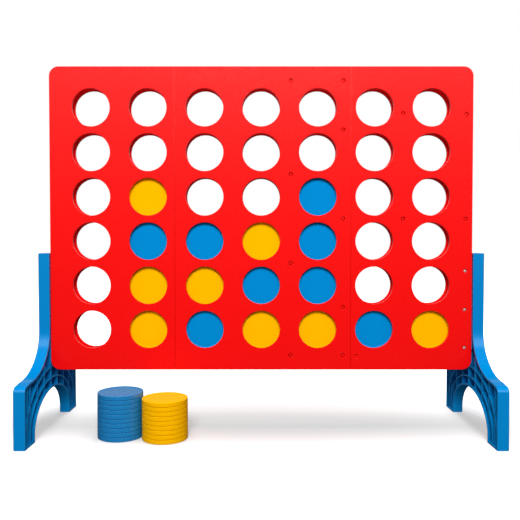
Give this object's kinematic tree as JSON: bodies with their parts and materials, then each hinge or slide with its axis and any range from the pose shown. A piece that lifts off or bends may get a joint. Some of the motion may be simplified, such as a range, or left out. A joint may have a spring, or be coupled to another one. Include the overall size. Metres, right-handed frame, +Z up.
{
  "type": "giant four in a row",
  "caption": "Upright disc-dropping board with round view holes on two arched, ribbed legs, with a release slider under the columns and round flat discs in two colours.",
  "frame": {"origin": "on the ground under the middle of the board, the centre of the bounding box's base", "axes": "+Z up, +X along the board to the right as seen from the front, -Y the front"},
  "size_m": [0.445, 0.153, 0.3621],
  "materials": {
    "board_red": "semi-gloss moulded",
    "leg_blue": "semi-gloss moulded",
    "slider_blue": "semi-gloss moulded",
    "disc_blue": "semi-gloss moulded",
    "disc_yellow": "semi-gloss moulded",
    "screw_steel": "satin zinc plate"
  },
  "bodies": {
    "board": {"back_panel_left": "board_red", "back_panel_middle": "board_red", "back_panel_right": "board_red", "column_divider_1_2": "board_red", "column_divider_2_3": "board_red", "column_divider_3_4": "board_red", "column_divider_4_5": "board_red", "column_divider_5_6": "board_red", "column_divider_6_7": "board_red", "end_post_left": "board_red", "end_post_right": "board_red", "front_panel_left": "board_red", "front_panel_middle": "board_red", "front_panel_right": "board_red", "leg_left": "leg_blue", "leg_right": "leg_blue", "leg_screw_left_1": "screw_steel", "leg_screw_left_2": "screw_steel", "leg_screw_left_3": "screw_steel", "leg_screw_right_1": "screw_steel", "leg_screw_right_2": "screw_steel", "leg_screw_right_3": "screw_steel"},
    "slider": {"release_slider": "slider_blue"},
    "disc_column_2_1_yellow": {"disc_column_2_1_yellow": "disc_yellow"},
    "disc_column_2_2_yellow": {"disc_column_2_2_yellow": "disc_yellow"},
    "disc_column_2_3_blue": {"disc_column_2_3_blue": "disc_blue"},
    "disc_column_2_4_yellow": {"disc_column_2_4_yellow": "disc_yellow"},
    "disc_column_3_1_blue": {"disc_column_3_1_blue": "disc_blue"},
    "disc_column_3_2_yellow": {"disc_column_3_2_yellow": "disc_yellow"},
    "disc_column_3_3_blue": {"disc_column_3_3_blue": "disc_blue"},
    "disc_column_4_1_yellow": {"disc_column_4_1_yellow": "disc_yellow"},
    "disc_column_4_2_blue": {"disc_column_4_2_blue": "disc_blue"},
    "disc_column_4_3_yellow": {"disc_column_4_3_yellow": "disc_yellow"},
    "disc_column_5_1_yellow": {"disc_column_5_1_yellow": "disc_yellow"},
    "disc_column_5_2_blue": {"disc_column_5_2_blue": "disc_blue"},
    "disc_column_5_3_blue": {"disc_column_5_3_blue": "disc_blue"},
    "disc_column_5_4_blue": {"disc_column_5_4_blue": "disc_blue"},
    "disc_column_6_1_blue": {"disc_column_6_1_blue": "disc_blue"},
    "disc_column_7_1_yellow": {"disc_column_7_1_yellow": "disc_yellow"},
    "disc_stack_blue_1": {"disc_stack_blue_1": "disc_blue"},
    "disc_stack_blue_2": {"disc_stack_blue_2": "disc_blue"},
    "disc_stack_blue_3": {"disc_stack_blue_3": "disc_blue"},
    "disc_stack_blue_4": {"disc_stack_blue_4": "disc_blue"},
    "disc_stack_blue_5": {"disc_stack_blue_5": "disc_blue"},
    "disc_stack_blue_6": {"disc_stack_blue_6": "disc_blue"},
    "disc_stack_blue_7": {"disc_stack_blue_7": "disc_blue"},
    "disc_stack_blue_8": {"disc_stack_blue_8": "disc_blue"},
    "disc_stack_blue_9": {"disc_stack_blue_9": "disc_blue"},
    "disc_stack_blue_10": {"disc_stack_blue_10": "disc_blue"},
    "disc_stack_yellow_1": {"disc_stack_yellow_1": "disc_yellow"},
    "disc_stack_yellow_2": {"disc_stack_yellow_2": "disc_yellow"},
    "disc_stack_yellow_3": {"disc_stack_yellow_3": "disc_yellow"},
    "disc_stack_yellow_4": {"disc_stack_yellow_4": "disc_yellow"},
    "disc_stack_yellow_5": {"disc_stack_yellow_5": "disc_yellow"},
    "disc_stack_yellow_6": {"disc_stack_yellow_6": "disc_yellow"},
    "disc_stack_yellow_7": {"disc_stack_yellow_7": "disc_yellow"},
    "disc_stack_yellow_8": {"disc_stack_yellow_8": "disc_yellow"},
    "disc_stack_yellow_9": {"disc_stack_yellow_9": "disc_yellow"}
  },
  "joints": [
    {"name": "bottom_release_slide", "type": "slide", "parent": "board", "child": "slider", "axis": [1, 0, 0], "range_m": [0, 0.0283]},
    {"name": "lift_column_2_disc_1", "type": "slide", "parent": "board", "child": "disc_column_2_1_yellow", "axis": [0, 0, 1], "range_m": [0, 0.285]},
    {"name": "lift_column_2_disc_2", "type": "slide", "parent": "disc_column_2_1_yellow", "child": "disc_column_2_2_yellow", "axis": [0, 0, 1], "range_m": [0, 0.2411]},
    {"name": "lift_column_2_disc_3", "type": "slide", "parent": "disc_column_2_2_yellow", "child": "disc_column_2_3_blue", "axis": [0, 0, 1], "range_m": [0, 0.1972]},
    {"name": "lift_column_2_disc_4", "type": "slide", "parent": "disc_column_2_3_blue", "child": "disc_column_2_4_yellow", "axis": [0, 0, 1], "range_m": [0, 0.1533]},
    {"name": "lift_column_3_disc_1", "type": "slide", "parent": "board", "child": "disc_column_3_1_blue", "axis": [0, 0, 1], "range_m": [0, 0.285]},
    {"name": "lift_column_3_disc_2", "type": "slide", "parent": "disc_column_3_1_blue", "child": "disc_column_3_2_yellow", "axis": [0, 0, 1], "range_m": [0, 0.2411]},
    {"name": "lift_column_3_disc_3", "type": "slide", "parent": "disc_column_3_2_yellow", "child": "disc_column_3_3_blue", "axis": [0, 0, 1], "range_m": [0, 0.1972]},
    {"name": "lift_column_4_disc_1", "type": "slide", "parent": "board", "child": "disc_column_4_1_yellow", "axis": [0, 0, 1], "range_m": [0, 0.285]},
    {"name": "lift_column_4_disc_2", "type": "slide", "parent": "disc_column_4_1_yellow", "child": "disc_column_4_2_blue", "axis": [0, 0, 1], "range_m": [0, 0.2411]},
    {"name": "lift_column_4_disc_3", "type": "slide", "parent": "disc_column_4_2_blue", "child": "disc_column_4_3_yellow", "axis": [0, 0, 1], "range_m": [0, 0.1972]},
    {"name": "lift_column_5_disc_1", "type": "slide", "parent": "board", "child": "disc_column_5_1_yellow", "axis": [0, 0, 1], "range_m": [0, 0.285]},
    {"name": "lift_column_5_disc_2", "type": "slide", "parent": "disc_column_5_1_yellow", "child": "disc_column_5_2_blue", "axis": [0, 0, 1], "range_m": [0, 0.2411]},
    {"name": "lift_column_5_disc_3", "type": "slide", "parent": "disc_column_5_2_blue", "child": "disc_column_5_3_blue", "axis": [0, 0, 1], "range_m": [0, 0.1972]},
    {"name": "lift_column_5_disc_4", "type": "slide", "parent": "disc_column_5_3_blue", "child": "disc_column_5_4_blue", "axis": [0, 0, 1], "range_m": [0, 0.1533]},
    {"name": "lift_column_6_disc_1", "type": "slide", "parent": "board", "child": "disc_column_6_1_blue", "axis": [0, 0, 1], "range_m": [0, 0.285]},
    {"name": "lift_column_7_disc_1", "type": "slide", "parent": "board", "child": "disc_column_7_1_yellow", "axis": [0, 0, 1], "range_m": [0, 0.285]},
    {"name": "lift_stack_blue_disc_1", "type": "slide", "parent": "board", "child": "disc_stack_blue_1", "axis": [0, 0, 1], "range_m": [0, 0.06]},
    {"name": "lift_stack_blue_disc_2", "type": "slide", "parent": "disc_stack_blue_1", "child": "disc_stack_blue_2", "axis": [0, 0, 1], "range_m": [0, 0.06]},
    {"name": "lift_stack_blue_disc_3", "type": "slide", "parent": "disc_stack_blue_2", "child": "disc_stack_blue_3", "axis": [0, 0, 1], "range_m": [0, 0.06]},
    {"name": "lift_stack_blue_disc_4", "type": "slide", "parent": "disc_stack_blue_3", "child": "disc_stack_blue_4", "axis": [0, 0, 1], "range_m": [0, 0.06]},
    {"name": "lift_stack_blue_disc_5", "type": "slide", "parent": "disc_stack_blue_4", "child": "disc_stack_blue_5", "axis": [0, 0, 1], "range_m": [0, 0.06]},
    {"name": "lift_stack_blue_disc_6", "type": "slide", "parent": "disc_stack_blue_5", "child": "disc_stack_blue_6", "axis": [0, 0, 1], "range_m": [0, 0.06]},
    {"name": "lift_stack_blue_disc_7", "type": "slide", "parent": "disc_stack_blue_6", "child": "disc_stack_blue_7", "axis": [0, 0, 1], "range_m": [0, 0.06]},
    {"name": "lift_stack_blue_disc_8", "type": "slide", "parent": "disc_stack_blue_7", "child": "disc_stack_blue_8", "axis": [0, 0, 1], "range_m": [0, 0.06]},
    {"name": "lift_stack_blue_disc_9", "type": "slide", "parent": "disc_stack_blue_8", "child": "disc_stack_blue_9", "axis": [0, 0, 1], "range_m": [0, 0.06]},
    {"name": "lift_stack_blue_disc_10", "type": "slide", "parent": "disc_stack_blue_9", "child": "disc_stack_blue_10", "axis": [0, 0, 1], "range_m": [0, 0.06]},
    {"name": "lift_stack_yellow_disc_1", "type": "slide", "parent": "board", "child": "disc_stack_yellow_1", "axis": [0, 0, 1], "range_m": [0, 0.06]},
    {"name": "lift_stack_yellow_disc_2", "type": "slide", "parent": "disc_stack_yellow_1", "child": "disc_stack_yellow_2", "axis": [0, 0, 1], "range_m": [0, 0.06]},
    {"name": "lift_stack_yellow_disc_3", "type": "slide", "parent": "disc_stack_yellow_2", "child": "disc_stack_yellow_3", "axis": [0, 0, 1], "range_m": [0, 0.06]},
    {"name": "lift_stack_yellow_disc_4", "type": "slide", "parent": "disc_stack_yellow_3", "child": "disc_stack_yellow_4", "axis": [0, 0, 1], "range_m": [0, 0.06]},
    {"name": "lift_stack_yellow_disc_5", "type": "slide", "parent": "disc_stack_yellow_4", "child": "disc_stack_yellow_5", "axis": [0, 0, 1], "range_m": [0, 0.06]},
    {"name": "lift_stack_yellow_disc_6", "type": "slide", "parent": "disc_stack_yellow_5", "child": "disc_stack_yellow_6", "axis": [0, 0, 1], "range_m": [0, 0.06]},
    {"name": "lift_stack_yellow_disc_7", "type": "slide", "parent": "disc_stack_yellow_6", "child": "disc_stack_yellow_7", "axis": [0, 0, 1], "range_m": [0, 0.06]},
    {"name": "lift_stack_yellow_disc_8", "type": "slide", "parent": "disc_stack_yellow_7", "child": "disc_stack_yellow_8", "axis": [0, 0, 1], "range_m": [0, 0.06]},
    {"name": "lift_stack_yellow_disc_9", "type": "slide", "parent": "disc_stack_yellow_8", "child": "disc_stack_yellow_9", "axis": [0, 0, 1], "range_m": [0, 0.06]}
  ]
}
